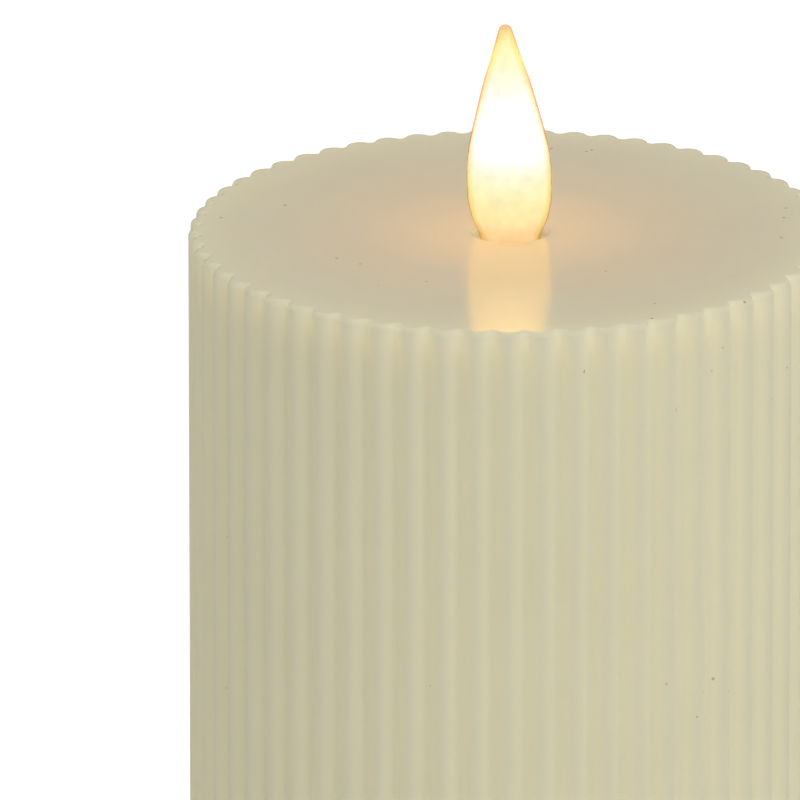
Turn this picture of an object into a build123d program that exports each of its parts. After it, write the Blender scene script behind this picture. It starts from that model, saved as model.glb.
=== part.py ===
"""Flameless LED pillar candle: a ribbed wax shell cast over a plastic liner, a hollow flame that is
pressed down to switch the light, and a screwed-in base that holds two AA cells behind a hinged door.

Units are millimetres. +Z is up, the origin is on the table under the candle's axis, and the front of
the candle faces -Y. Each function makes one sub-part, and each sub-part is one STEP file in parts/."""

from build123d import *
import os
from math import cos, radians, sin, tan

# Overall size
CREST_R = 44.5  # wax radius over the rib crests, an 89 mm (3.5 in) pillar
TOP_Z = 127.0  # flat top of the wax above the table, a 5 in pillar
FOOT_H = 1.0  # the rubber feet hold everything else this far off the table
SEAT = 0.05  # gap left between faces that bear on each other

# Wax shell
RIB_COUNT = 60
RIB_DEPTH = 1.2
RIB_CREST_R = 1.8  # radius of each rib's rounded crest
RIM_FILLET = 0.8
WAX_BORE_R = 39.0
WAX_ROOF = 8.0
FLAME_HOLE_R = 4.95
HOLE_LIP_FILLET = 0.9

# Liner
LINER_R = WAX_BORE_R - 0.1
LINER_WALL = 1.4
LINER_IN_R = LINER_R - LINER_WALL
LINER_TOP = TOP_Z - WAX_ROOF - 0.1
LINER_ROOF = 1.8
LINER_ROOF_Z = LINER_TOP - LINER_ROOF
LINER_HOLE_R = 7.2
ROOF_BOSS_ANGLES = (30, 150, 270)
ROOF_BOSS_RING = 22.0
ROOF_BOSS_H = 7.0
FLOOR_BOSS_ANGLES = (58, 122, 238, 302)
FLOOR_BOSS_RING = 33.8
FLOOR_BOSS_TOP = 16.0
BOSS_R = 3.1
PILOT_R = 1.1
COMB_LEVELS = (58.0, 65.0)  # clips that hold the leads against the wall

# Flame, heights measured from the wax top
FLAME_HEIGHT = 29.9
FLAME_SIDE = (  # radius and height up the flame, between its neck and its tip
    (5.25, 1.9),
    (5.85, 5.0),
    (5.92, 7.9),
    (5.72, 11.0),
    (5.1, 14.4),
    (4.12, 18.3),
    (3.08, 22.2),
    (1.98, 25.8),
)
FLAME_TIP_R = 0.85
FLAME_TIP_TURN = 75  # how far the rounded tip runs down each side, degrees
NECK_R = 4.1
NECK_H = -0.7
NECK_BOTTOM_H = -6.35
FLAME_WALL = 0.8

# Flame guide, plunger and return spring
FLAME_TRAVEL = 1.2
GUIDE_TOP = LINER_ROOF_Z - ROOF_BOSS_H - SEAT  # upper face of the guide's plate
GUIDE_PLATE = 2.1
GUIDE_LOW = GUIDE_TOP - GUIDE_PLATE
GUIDE_R = 25.5
GUIDE_BARREL_R = 6.4
GUIDE_BARREL_TOP = LINER_TOP - 0.5
PLUNGER_R = 4.5
PLUNGER_CLEARANCE = 0.06
PLUNGER_FLANGE_R = 11.2
PLUNGER_FLANGE = 1.6
PLUNGER_FLANGE_LOW = GUIDE_LOW - 0.1 - PLUNGER_FLANGE
PLUNGER_BORE_R = 2.2
SPIGOT_R = NECK_R - FLAME_WALL - SEAT
POST_ANGLES = (90, 210, 330)
POST_RING = 17.0
POST_R = 2.6
POST_PILOT_R = 0.9
SPRING_R = 4.4
SPRING_WIRE = 0.6

# Control board and what it carries
BOARD_R = 20.0
BOARD_T = 1.6
BOARD_TOP = 98.0
BOARD_LOW = BOARD_TOP - BOARD_T
LED_R = 1.5
LED_BASE = TOP_Z + 11.0
LED_LEAD_X = 1.27
LED_LEAD_R = 0.25
STEM_R = 1.8
PUSH_SWITCH_Y = 8.9
PUSH_SWITCH_SIDE = 7.0
PUSH_SWITCH_TOP = BOARD_TOP + SEAT + 5.0
PUSH_BUTTON_SIDE = 3.2
PUSH_BUTTON_TOP = PLUNGER_FLANGE_LOW - 0.05
PUSH_BUTTON_LOW = BOARD_TOP + 2.4
CHIP_Y = -9.5
CHIP_HALF = (2.45, 1.95)
CHIP_LEG_PITCH = 1.27
CHIP_LEG_HALF = 0.2
CAPACITOR_R = 2.5
CAPACITOR_H = 7.4
RESISTOR_X = -13.0
RESISTOR_YS = (1.2, 4.8)
RESISTOR_R = 0.85
RESISTOR_LEG_R = 0.25
RESISTOR_SPAN = 3.2  # from a resistor's middle to each leg

# Base
BASE_R = LINER_IN_R - 0.3
BASE_LOW = FOOT_H
BASE_T = 2.2
BASE_TOP = BASE_LOW + BASE_T
BASE_SCREW_LENGTH = 11.0
SCREW_RECESS_R = 2.9
SCREW_RECESS = 1.2
FOOT_R = 2.4
FOOT_RING = 34.2
FOOT_ANGLES = (38, 142, 218, 322)
FOOT_SUNK = 0.6
CELL_R = 7.1
CELL_Y = 7.4
CELL_Z = 10.6
CELL_NUB_R = 2.75
CELL_NUB = 1.3
CELL_CAN = 49.2
BAY_X = 29.4  # inside of the battery bay, half length
BAY_Y = 15.6
BAY_TOP = 18.4
BAY_WALL = 1.6
DOOR_GAP = 0.2
DOOR_X = BAY_X + 0.8
DOOR_Y = BAY_Y + 0.8
DOOR_T = 1.8
HINGE_X = 29.2
HINGE_Z = BASE_LOW + 1.6
KNUCKLE_R = 1.6
KNUCKLE_Y = BAY_Y - 0.2
HINGE_STUB_R = 0.9
HINGE_STUB_Y = 17.0
HINGE_POCKET_X = HINGE_X + KNUCKLE_R + 0.3
DOOR_WIDE_X = HINGE_X - 2.8  # towards the hinge the door is only as wide as its knuckle
SWING_GAP = 0.9  # room for the wide part's end to swing out
LATCH_Y = 3.7
LATCH_REACH = 1.5
CONTACT_T = 0.4
TAB_TOP = 22.4
BAY_SPRING_WIRE = 0.7

# Slide switch
SWITCH_Y = -26.5
SWITCH_TRAVEL = 4.0
KNOB_X = -SWITCH_TRAVEL / 2  # the knob rests in the ON position
KNOB_W = 3.0
KNOB_D = 2.8
KNOB_SLOT_X = SWITCH_TRAVEL / 2 + KNOB_W / 2 + 0.2  # half length of the slot the knob slides in
KNOB_SLOT_Y = KNOB_D / 2 + 0.15
SWITCH_SIZE = (12.0, 6.0, 5.0)
SEAT_WALL = 0.9
SEAT_H = 3.0
FINGER_RECESS = 0.9
MARK_Y = SWITCH_Y + 5.6
MARK_DEPTH = 0.3
MARK_X = 4.5  # the bar and the clock stand this far to either side of the ring
SWITCH_LOW = BASE_TOP + SEAT
SWITCH_TOP = SWITCH_LOW + SWITCH_SIZE[2]
TERMINAL_X = (-3.75, -1.25, 1.25, 3.75)
TERMINAL_TOP = SWITCH_TOP + 2.9

# Leads
LEAD_R = 0.6
LEAD_WALL_Y = -34.4
LEAD_PAD_Y = -15.0

BOTTOM = (Align.CENTER, Align.CENTER, Align.MIN)


def disc(radius, low, high, x=0.0, y=0.0):
    """An upright cylinder between two heights."""
    return Pos(x, y, low) * Cylinder(radius, high - low, align=BOTTOM)


def block(x0, x1, y0, y1, z0, z1):
    """A box between opposite corners, given in either order."""
    middle = Pos((x0 + x1) / 2, (y0 + y1) / 2, (z0 + z1) / 2)
    return middle * Box(abs(x1 - x0), abs(y1 - y0), abs(z1 - z0))


def on_ring(radius, angles):
    """The (x, y) places at these angles on a circle."""
    return [(radius * cos(radians(a)), radius * sin(radians(a))) for a in angles]


def cross_rod(radius, y0, y1, x, z):
    """A cylinder lying along Y between two stations."""
    return Pos(x, (y0 + y1) / 2, z) * Rot(90, 0, 0) * Cylinder(radius, abs(y1 - y0))


def end_rod(radius, x0, x1, y, z):
    """A cylinder lying along X between two stations, given in either order."""
    return Pos((x0 + x1) / 2, y, z) * Rot(0, 90, 0) * Cylinder(radius, abs(x1 - x0))


def rib_outline():
    """The closed outline of the wax: a convex arc for each rib and a tangent hollow arc between ribs."""
    step = 360 / RIB_COUNT
    valley_r = CREST_R - RIB_DEPTH
    crest_centre = CREST_R - RIB_CREST_R
    reach = crest_centre * cos(radians(step / 2))
    spread = crest_centre * sin(radians(step / 2))
    hollow_r = ((valley_r - reach) ** 2 + spread**2 - RIB_CREST_R**2) / (2 * (RIB_CREST_R + reach - valley_r))
    share = RIB_CREST_R / (RIB_CREST_R + hollow_r)
    hollow_centre = valley_r + hollow_r
    touch_x = crest_centre + share * (hollow_centre * cos(radians(step / 2)) - crest_centre)
    touch_y = share * hollow_centre * sin(radians(step / 2))
    rib = ThreePointArc((touch_x, -touch_y), (CREST_R, 0), (touch_x, touch_y))
    arcs = []
    for k in range(RIB_COUNT):
        here, following = (Rot(0, 0, turn * step) * rib for turn in (k, k + 1))
        valley = on_ring(valley_r, [(k + 0.5) * step])[0]
        arcs += [here, ThreePointArc(here @ 1, valley, following @ 0)]
    return make_face(Curve() + arcs)


def wax_shell():
    body = Pos(0, 0, FOOT_H) * extrude(rib_outline(), TOP_Z - FOOT_H)
    body = fillet(body.edges().group_by(Axis.Z)[-1], RIM_FILLET)
    body -= disc(WAX_BORE_R, FOOT_H, TOP_Z - WAX_ROOF)
    body -= disc(FLAME_HOLE_R, TOP_Z - WAX_ROOF, TOP_Z)
    lip = body.edges().filter_by(GeomType.CIRCLE).filter_by(lambda e: abs(e.radius - FLAME_HOLE_R) < 0.01)
    return fillet(lip.group_by(Axis.Z)[-1], HOLE_LIP_FILLET)


def lead_comb(level):
    """A clip on the liner's wall, with one open slot for each lead."""
    half_width, height, reach = 5.6, 4.0, 3.9
    comb = block(-half_width, half_width, -LINER_IN_R - 0.5, LEAD_WALL_Y + reach / 3, level, level + height)
    slot = LEAD_R + 0.15
    for x in TERMINAL_X:
        comb -= block(x - slot, x + slot, LEAD_WALL_Y - slot, 0, level, level + height)
    return comb


def inner_liner():
    cup = disc(LINER_R, FOOT_H, LINER_TOP) - disc(LINER_IN_R, FOOT_H, LINER_ROOF_Z)
    for x, y in on_ring(ROOF_BOSS_RING, ROOF_BOSS_ANGLES):
        cup += disc(BOSS_R, LINER_ROOF_Z - ROOF_BOSS_H, LINER_ROOF_Z, x, y)
        cup -= disc(PILOT_R, LINER_ROOF_Z - ROOF_BOSS_H, LINER_ROOF_Z - 0.6, x, y)
    for angle in FLOOR_BOSS_ANGLES:
        low = BASE_TOP + 0.4
        web = block(FLOOR_BOSS_RING, LINER_IN_R + 0.5, -1.5, 1.5, low, FLOOR_BOSS_TOP)
        boss = disc(BOSS_R, low, FLOOR_BOSS_TOP, FLOOR_BOSS_RING) + web
        boss -= disc(PILOT_R, low, FLOOR_BOSS_TOP - 2, FLOOR_BOSS_RING)
        cup += Rot(0, 0, angle) * boss
    for level in COMB_LEVELS:
        cup += lead_comb(level)
    return cup - disc(LINER_HOLE_R, LINER_ROOF_Z, LINER_TOP)


def flame_face(inset, low, tip):
    """Half of the flame's section, from the foot of its neck to its tip, with every radius inset."""
    tip_r = FLAME_TIP_R - inset / 3
    turn = radians(FLAME_TIP_TURN)
    on_tip = [(tip_r * sin(a), tip - tip_r + tip_r * cos(a)) for a in (turn, turn / 2, 0)]
    neck = NECK_R - inset
    stations = [(radius - inset, height) for radius, height in FLAME_SIDE]
    side = Spline((neck, NECK_H), *stations, on_tip[0], tangents=[(0.42, 1), (-cos(turn), sin(turn))])
    edge = Line((neck, low), (neck, NECK_H)) + side + ThreePointArc(*on_tip)
    return make_face(edge + Polyline(on_tip[2], (0, low), (neck, low)))


def flame_bulb():
    """The hollow flame, open at the foot of its neck."""
    outer = flame_face(0, NECK_BOTTOM_H, FLAME_HEIGHT)
    inner = flame_face(FLAME_WALL, NECK_BOTTOM_H - 1, FLAME_HEIGHT - 2)
    solids = [revolve(Rot(90, 0, 0) * face, Axis.Z) for face in (outer, inner)]
    return Pos(0, 0, TOP_Z) * (solids[0] - solids[1])


def flame_plunger():
    """The sliding tube that carries the flame on its spigot. Its flange presses the switch."""
    shoulder = TOP_Z + NECK_BOTTOM_H - SEAT
    body = disc(PLUNGER_R, PLUNGER_FLANGE_LOW, shoulder)
    body += disc(PLUNGER_FLANGE_R, PLUNGER_FLANGE_LOW, PLUNGER_FLANGE_LOW + PLUNGER_FLANGE)
    body += disc(SPIGOT_R, shoulder, shoulder + 3.4)
    body = chamfer(body.edges().group_by(Axis.Z)[-1], 0.3)
    return body - disc(PLUNGER_BORE_R, PLUNGER_FLANGE_LOW, TOP_Z)


def coil(radius, wire, low, high, turns, end_radius=None):
    """An upright round-wire spring between two heights. A second radius makes it conical."""
    pitch = (high - low - wire) / turns
    cone = 0.0
    if end_radius is not None:
        cone = -Vector(high - low - wire, radius - end_radius).get_angle(Vector(1, 0))
    path = Helix(pitch, high - low - wire, radius, cone_angle=cone)
    section = Plane(origin=path @ 0, z_dir=path % 0) * Circle(wire / 2)
    return Pos(0, 0, low + wire / 2) * sweep(section, path=path, is_frenet=True)


def plunger_spring():
    return coil(SPRING_R, SPRING_WIRE, BOARD_TOP + SEAT, PLUNGER_FLANGE_LOW - SEAT, 5)


def flame_guide():
    """The plate under the liner's roof: its barrel guides the plunger and its posts carry the board."""
    body = disc(GUIDE_R, GUIDE_LOW, GUIDE_TOP) + disc(GUIDE_BARREL_R, GUIDE_LOW, GUIDE_BARREL_TOP)
    for x, y in on_ring(POST_RING, POST_ANGLES):
        body += disc(POST_R, BOARD_TOP + SEAT, GUIDE_LOW, x, y)
        body -= disc(POST_PILOT_R, BOARD_TOP + SEAT, GUIDE_LOW - 2, x, y)
    for x, y in on_ring(ROOF_BOSS_RING, ROOF_BOSS_ANGLES):
        body -= disc(PILOT_R + 0.25, GUIDE_LOW, GUIDE_TOP, x, y)
    return body - disc(PLUNGER_R + PLUNGER_CLEARANCE, GUIDE_LOW, GUIDE_BARREL_TOP)


def screw(head_r, head, shank_r, length, head_low):
    """A pan-head screw that points up, with a cross recess in its head."""
    body = disc(head_r, head_low, head_low + head)
    body = fillet(body.edges().group_by(Axis.Z)[0], head * 0.45)
    body += disc(shank_r, head_low + head, head_low + head + length)
    body = chamfer(body.edges().group_by(Axis.Z)[-1], shank_r * 0.6)
    slot = block(-head_r * 0.55, head_r * 0.55, -0.28, 0.28, head_low, head_low + head * 0.6)
    return body - slot - Rot(0, 0, 90) * slot


def screws_on_ring(body, ring, angles):
    return Compound([Pos(x, y, 0) * body for x, y in on_ring(ring, angles)])


def guide_screws():
    head = 1.3
    body = screw(2.4, head, PILOT_R - SEAT, GUIDE_PLATE + 5.2, GUIDE_LOW - SEAT - head)
    return screws_on_ring(body, ROOF_BOSS_RING, ROOF_BOSS_ANGLES)


def board_screws():
    head = 1.2
    body = screw(2.0, head, POST_PILOT_R - SEAT, BOARD_T + 5.0, BOARD_LOW - SEAT - head)
    return screws_on_ring(body, POST_RING, POST_ANGLES)


def base_screws():
    head = 1.1
    body = screw(2.6, head, PILOT_R - SEAT, BASE_SCREW_LENGTH, BASE_LOW + SEAT)
    return screws_on_ring(body, FLOOR_BOSS_RING, FLOOR_BOSS_ANGLES)


def control_board():
    board = disc(BOARD_R, BOARD_LOW, BOARD_TOP)
    for x, y in on_ring(POST_RING, POST_ANGLES):
        board -= disc(POST_PILOT_R + 0.2, BOARD_LOW, BOARD_TOP, x, y)
    for x in (-LED_LEAD_X, LED_LEAD_X):
        board -= disc(LED_LEAD_R + 0.15, BOARD_LOW, BOARD_TOP, x)
    return board


def led_stem():
    """The white spacer that holds the lamp up inside the flame, with a bore for each leg."""
    stem = disc(STEM_R, BOARD_TOP + SEAT, LED_BASE - SEAT)
    for x in (-LED_LEAD_X, LED_LEAD_X):
        stem -= disc(LED_LEAD_R + 0.04, BOARD_TOP, LED_BASE, x)
    return stem


def led_leads():
    legs = [disc(LED_LEAD_R, BOARD_LOW - 1.0, LED_BASE - SEAT, x) for x in (-LED_LEAD_X, LED_LEAD_X)]
    return Compound(legs)


def led_lamp():
    """A 3 mm lamp: a flange, a straight body and a dome."""
    straight = 3.8
    lamp = disc(LED_R + 0.35, LED_BASE, LED_BASE + 1.0) + disc(LED_R, LED_BASE, LED_BASE + straight)
    return lamp + Pos(0, 0, LED_BASE + straight) * Sphere(LED_R)


def push_switch_body():
    half = PUSH_SWITCH_SIDE / 2
    low = BOARD_TOP + SEAT
    well = PUSH_BUTTON_SIDE / 2 + 0.1
    body = block(-half, half, PUSH_SWITCH_Y - half, PUSH_SWITCH_Y + half, low, PUSH_SWITCH_TOP)
    body = chamfer(body.edges().filter_by(Axis.Z), 0.4)
    floor = PUSH_BUTTON_LOW - FLAME_TRAVEL - 0.3
    return body - block(-well, well, PUSH_SWITCH_Y - well, PUSH_SWITCH_Y + well, floor, PUSH_SWITCH_TOP)


def push_switch_button():
    half = PUSH_BUTTON_SIDE / 2
    body = block(-half, half, PUSH_SWITCH_Y - half, PUSH_SWITCH_Y + half, PUSH_BUTTON_LOW, PUSH_BUTTON_TOP)
    return fillet(body.edges().group_by(Axis.Z)[-1], 0.25)


def controller_chip():
    wide, deep = CHIP_HALF
    body = block(-wide, wide, CHIP_Y - deep, CHIP_Y + deep, BOARD_TOP + 0.15, BOARD_TOP + 1.6)
    return chamfer(body.edges().group_by(Axis.Z)[-1], 0.2)


def chip_legs():
    """Eight gull-wing legs, four along each long side of the chip."""
    legs = []
    for side in (-1, 1):
        for k in range(4):
            x = (k - 1.5) * CHIP_LEG_PITCH
            x0, x1 = x - CHIP_LEG_HALF, x + CHIP_LEG_HALF
            y = CHIP_Y + side * (CHIP_HALF[1] + SEAT)
            rise = block(x0, x1, y, y + side * 0.3, BOARD_TOP + SEAT, BOARD_TOP + 0.85)
            toe = block(x0, x1, y, y + side * 1.0, BOARD_TOP + SEAT, BOARD_TOP + 0.25)
            legs.append((rise + toe).solid())
    return Compound(legs)


def smoothing_capacitor():
    """An upright can with a groove rolled in near its foot."""
    can = disc(CAPACITOR_R, BOARD_TOP + SEAT, BOARD_TOP + CAPACITOR_H)
    can = fillet(can.edges().group_by(Axis.Z)[-1], 0.4)
    low, high = BOARD_TOP + 1.2, BOARD_TOP + 1.6
    groove = disc(CAPACITOR_R + 0.1, low, high) - disc(CAPACITOR_R - 0.2, low, high)
    x, y = on_ring(15.5, (30,))[0]
    return Pos(x, y, 0) * (can - groove)


def resistors():
    """Two small resistors that lie on the board, each with its legs bent down to it."""
    found = []
    for y in RESISTOR_YS:
        x, z = RESISTOR_X, BOARD_TOP + 1.3
        body = end_rod(RESISTOR_R, x - 1.9, x + 1.9, y, z)
        for end in (-1, 1):
            leg_x = x + end * RESISTOR_SPAN
            body += end_rod(RESISTOR_R + 0.2, x + end * 1.1, x + end * 1.9, y, z)
            body += end_rod(RESISTOR_LEG_R, x + end * 1.8, leg_x, y, z)
            body += disc(RESISTOR_LEG_R, BOARD_TOP + SEAT, z + RESISTOR_LEG_R, leg_x, y)
        found.append(body.solid())
    return Compound(found)


def battery_housing():
    """The base: a round plate, the battery bay that stands on it, and seats for the switch and feet."""
    bay = block(-BAY_X - BAY_WALL, BAY_X + BAY_WALL, -BAY_Y - BAY_WALL, BAY_Y + BAY_WALL,
                BASE_TOP, BAY_TOP + BAY_WALL)
    bay = fillet(bay.edges().filter_by(Axis.Z) + bay.edges().group_by(Axis.Z)[-1], 1.2)
    socket_y = HINGE_STUB_Y + 0.2
    body = disc(BASE_R, BASE_LOW, BASE_TOP) + bay
    body += block(BAY_X - 2.5, HINGE_POCKET_X + 1.5, -socket_y - 0.8, socket_y + 0.8, BASE_LOW, 6.0)
    body -= block(-BAY_X, BAY_X, -BAY_Y, BAY_Y, BASE_LOW, BAY_TOP)
    body -= door_recess()
    body -= cross_rod(HINGE_STUB_R + 0.05, -socket_y, socket_y, HINGE_X, HINGE_Z)
    for x, y in on_ring(FLOOR_BOSS_RING, FLOOR_BOSS_ANGLES):
        body -= disc(SCREW_RECESS_R, BASE_LOW, BASE_LOW + SCREW_RECESS, x, y)
        body -= disc(PILOT_R + 0.25, BASE_LOW, BASE_TOP, x, y)
    for x, y in on_ring(FOOT_RING, FOOT_ANGLES):
        body -= disc(FOOT_R + SEAT, BASE_LOW, BASE_LOW + FOOT_SUNK + SEAT, x, y)
    return body + switch_seat() - switch_cuts() - tab_slots()


def door_recess():
    """The room for the door, its knuckle and its latch."""
    wide_x, wide_y = DOOR_X + DOOR_GAP, DOOR_Y + DOOR_GAP
    wide_end = DOOR_WIDE_X + SWING_GAP
    recess = block(-wide_x, wide_end, -wide_y, wide_y, BASE_LOW, BASE_LOW + DOOR_T + 0.1)
    knuckle_y = KNUCKLE_Y + 0.3
    recess += block(wide_end - 0.5, HINGE_POCKET_X, -knuckle_y, knuckle_y, BASE_LOW, HINGE_Z + 2)
    notch = block(-DOOR_X - 3.6, -DOOR_X, -5.0, 5.0, BASE_LOW, BASE_LOW + 1.5)
    return recess + fillet(notch.edges().filter_by(Axis.Z).group_by(Axis.X)[0], 1.5)


def switch_seat():
    """Walls that hold the slide switch over its slot."""
    wide, deep = SWITCH_SIZE[0] / 2 + 0.1, SWITCH_SIZE[1] / 2 + 0.1
    outer_x, outer_y = wide + SEAT_WALL, deep + SEAT_WALL
    top = BASE_TOP + SEAT_H
    walls = block(-outer_x, outer_x, SWITCH_Y - outer_y, SWITCH_Y + outer_y, BASE_TOP, top)
    return walls - block(-wide, wide, SWITCH_Y - deep, SWITCH_Y + deep, BASE_TOP, top)


def switch_cuts():
    """The finger recess, the knob's slot, and a bar, a ring and a clock that mark its three places."""
    recess = block(-7.5, 7.5, SWITCH_Y - 3.4, SWITCH_Y + 3.4, BASE_LOW, BASE_LOW + FINGER_RECESS)
    recess = fillet(recess.edges().filter_by(Axis.Z), 2.4)
    y0, y1 = SWITCH_Y - KNOB_SLOT_Y, SWITCH_Y + KNOB_SLOT_Y
    slot = block(-KNOB_SLOT_X, KNOB_SLOT_X, y0, y1, BASE_LOW, BASE_TOP)
    deep = BASE_LOW + MARK_DEPTH
    bar = block(-MARK_X - 0.25, -MARK_X + 0.25, MARK_Y - 1.1, MARK_Y + 1.1, BASE_LOW, deep)
    ring = disc(1.1, BASE_LOW, deep, 0, MARK_Y) - disc(0.7, BASE_LOW, deep, 0, MARK_Y)
    clock = disc(1.25, BASE_LOW, deep, MARK_X, MARK_Y) - disc(0.95, BASE_LOW, deep, MARK_X, MARK_Y)
    hands = block(MARK_X - 0.14, MARK_X + 0.14, MARK_Y, MARK_Y + 0.8, BASE_LOW, deep)
    hands += block(MARK_X, MARK_X + 0.6, MARK_Y - 0.14, MARK_Y + 0.14, BASE_LOW, deep)
    return recess + slot + bar + ring + clock + hands


def tab_slots():
    """Slots in the bay's roof that the two solder tabs come up through."""
    slots = [block(-BAY_X - 0.1, -BAY_X + 1.0, y - 1.6, y + 1.6, BAY_TOP, BAY_TOP + BAY_WALL)
             for y in (-CELL_Y, CELL_Y)]
    return slots[0] + slots[1]


def battery_door():
    """The door: a plate, a knuckle with two stub pins, and a springy tongue with ribs for the thumb."""
    door = block(-DOOR_X, DOOR_WIDE_X, -DOOR_Y, DOOR_Y, BASE_LOW, BASE_LOW + DOOR_T)
    door = fillet(door.edges().filter_by(Axis.Z).group_by(Axis.X)[0], 0.8)
    door += block(DOOR_WIDE_X, HINGE_X, -KNUCKLE_Y, KNUCKLE_Y, BASE_LOW, BASE_LOW + DOOR_T)
    door += cross_rod(KNUCKLE_R, -KNUCKLE_Y, KNUCKLE_Y, HINGE_X, HINGE_Z)
    door += cross_rod(HINGE_STUB_R, -HINGE_STUB_Y, HINGE_STUB_Y, HINGE_X, HINGE_Z)
    lip = block(-DOOR_X - LATCH_REACH, -DOOR_X, -LATCH_Y, LATCH_Y, BASE_LOW, BASE_LOW + 1.1)
    door += fillet(lip.edges().filter_by(Axis.Z).group_by(Axis.X)[0], 0.8)
    for side in (-1, 1):
        slit = side * (LATCH_Y + 0.5)
        door -= block(-DOOR_X, -DOOR_X + 9.0, slit - 0.5, slit + 0.5, BASE_LOW, BASE_TOP)
    for k in range(6):
        x = -DOOR_X - 0.4 + k * 1.3
        door -= block(x - 0.3, x + 0.3, -LATCH_Y + 0.7, LATCH_Y - 0.7, BASE_LOW, BASE_LOW + 0.35)
    return door


def cell(direction, y):
    """An AA cell with its positive nub towards +X or -X."""
    nub_tip = direction * (BAY_X - CONTACT_T - 0.85)
    shoulder = nub_tip - direction * CELL_NUB
    tail = shoulder - direction * CELL_CAN
    can = end_rod(CELL_R, shoulder, tail, y, CELL_Z)
    can = fillet(can.edges().filter_by(GeomType.CIRCLE), 0.5)
    nub = end_rod(CELL_NUB_R, nub_tip, shoulder - direction, y, CELL_Z)
    nub = fillet(nub.edges().filter_by(GeomType.CIRCLE), 0.3)
    return can + nub


def contact_dimple(direction, y):
    """The raised spot that a cell's nub bears on."""
    face = direction * (BAY_X - CONTACT_T)
    return end_rod(2.0, face + direction * 0.1, face - direction * 0.8, y, CELL_Z)


def contact_plate(x0, x1, y0, y1):
    plate = block(x0, x1, y0, y1, CELL_Z - 5.2, CELL_Z + 5.2)
    return fillet(plate.edges().filter_by(Axis.X), 1.0)


def bridge_contact():
    """The plate that joins the two cells in series at the hinge end."""
    plate = contact_plate(BAY_X - CONTACT_T, BAY_X - 0.02, -12.5, 12.5)
    return plate + contact_dimple(1, -CELL_Y)


def end_contact(y, dimple):
    """A single contact at the latch end, with its solder tab through the roof."""
    x0, x1 = -BAY_X + 0.02, -BAY_X + CONTACT_T
    plate = contact_plate(x0, x1, y - 5.0, y + 5.0)
    plate += block(x0, x1, y - 1.25, y + 1.25, CELL_Z, TAB_TOP)
    return plate + contact_dimple(-1, y) if dimple else plate


def bay_spring(direction, y):
    """A conical spring from a contact plate to a cell's flat end, on the side given."""
    length = 2 * BAY_X - 2 * CONTACT_T - 0.85 - CELL_NUB - CELL_CAN - 2 * SEAT
    spring = coil(4.4, BAY_SPRING_WIRE, 0, length, 4, end_radius=2.9)
    start = direction * (BAY_X - CONTACT_T - SEAT)
    return Pos(start, y, CELL_Z) * Rot(0, -90 * direction, 0) * spring


def rubber_feet():
    foot = disc(FOOT_R, 0, BASE_LOW + FOOT_SUNK)
    foot = fillet(foot.edges().group_by(Axis.Z)[0], 0.4)
    return Compound([Pos(x, y, 0) * foot for x, y in on_ring(FOOT_RING, FOOT_ANGLES)])


def slide_switch_body():
    wide, deep = SWITCH_SIZE[0] / 2, SWITCH_SIZE[1] / 2
    body = block(-wide, wide, SWITCH_Y - deep, SWITCH_Y + deep, SWITCH_LOW, SWITCH_TOP)
    y0, y1 = SWITCH_Y - KNOB_SLOT_Y, SWITCH_Y + KNOB_SLOT_Y
    return body - block(-KNOB_SLOT_X, KNOB_SLOT_X, y0, y1, SWITCH_LOW, SWITCH_LOW + 2.2)


def slide_switch_terminals():
    pins = [block(x - 0.4, x + 0.4, SWITCH_Y - 0.2, SWITCH_Y + 0.2, SWITCH_TOP + 0.02, TERMINAL_TOP)
            for x in TERMINAL_X]
    return Compound(pins)


def slide_switch_knob():
    x0, x1 = KNOB_X - KNOB_W / 2, KNOB_X + KNOB_W / 2
    y0, y1 = SWITCH_Y - KNOB_D / 2, SWITCH_Y + KNOB_D / 2
    knob = block(x0, x1, y0, y1, BASE_LOW + 0.2, SWITCH_LOW + 1.9)
    for k in (-1, 0, 1):
        x = KNOB_X + k * 0.9
        knob -= block(x - 0.2, x + 0.2, y0, y1, BASE_LOW + 0.2, BASE_LOW + 0.55)
    return knob


def lead(points):
    """A tube along straight runs that are joined by the largest arcs the runs allow."""
    points = [Vector(*p) for p in points]
    radii = []
    for before, corner, after in zip(points, points[1:], points[2:]):
        arriving, leaving = corner - before, after - corner
        turn = radians(arriving.get_angle(leaving))
        radii.append(0.45 * min(arriving.length, leaving.length) / tan(turn / 2))
    print("lead arcs", [round(r, 1) for r in radii])
    path = FilletPolyline(*points, radius=radii)
    section = Plane(origin=path @ 0, z_dir=path % 0) * Circle(LEAD_R)
    return sweep(section, path=path)


def riser(x, start):
    """The stretch up the liner's wall that every lead to the board shares."""
    return start + [(x, LEAD_WALL_Y, 80), (x, LEAD_PAD_Y, 88), (x, LEAD_PAD_Y, BOARD_LOW - SEAT)]


def switch_lead(x):
    """A lead from a switch terminal to the board."""
    start = [(x, SWITCH_Y, TERMINAL_TOP + SEAT), (x, SWITCH_Y, 20), (x, LEAD_WALL_Y, 34)]
    return lead(riser(x, start))


def negative_lead():
    x = TERMINAL_X[0]
    tab_x = -BAY_X + CONTACT_T / 2
    start = [(tab_x, -CELL_Y, TAB_TOP + SEAT), (tab_x, -CELL_Y, 31), (x - 9, -28, 41), (x, LEAD_WALL_Y, 50)]
    return lead(riser(x, start))


def jumper_lead():
    """The short lead from the positive contact to the switch's common terminal."""
    tab_x = -BAY_X + CONTACT_T / 2
    return lead([
        (tab_x, CELL_Y, TAB_TOP + SEAT),
        (tab_x, CELL_Y, 31),
        (-18, -12, 33),
        (TERMINAL_X[0], SWITCH_Y, 25),
        (TERMINAL_X[0], SWITCH_Y, TERMINAL_TOP + SEAT),
    ])


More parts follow.
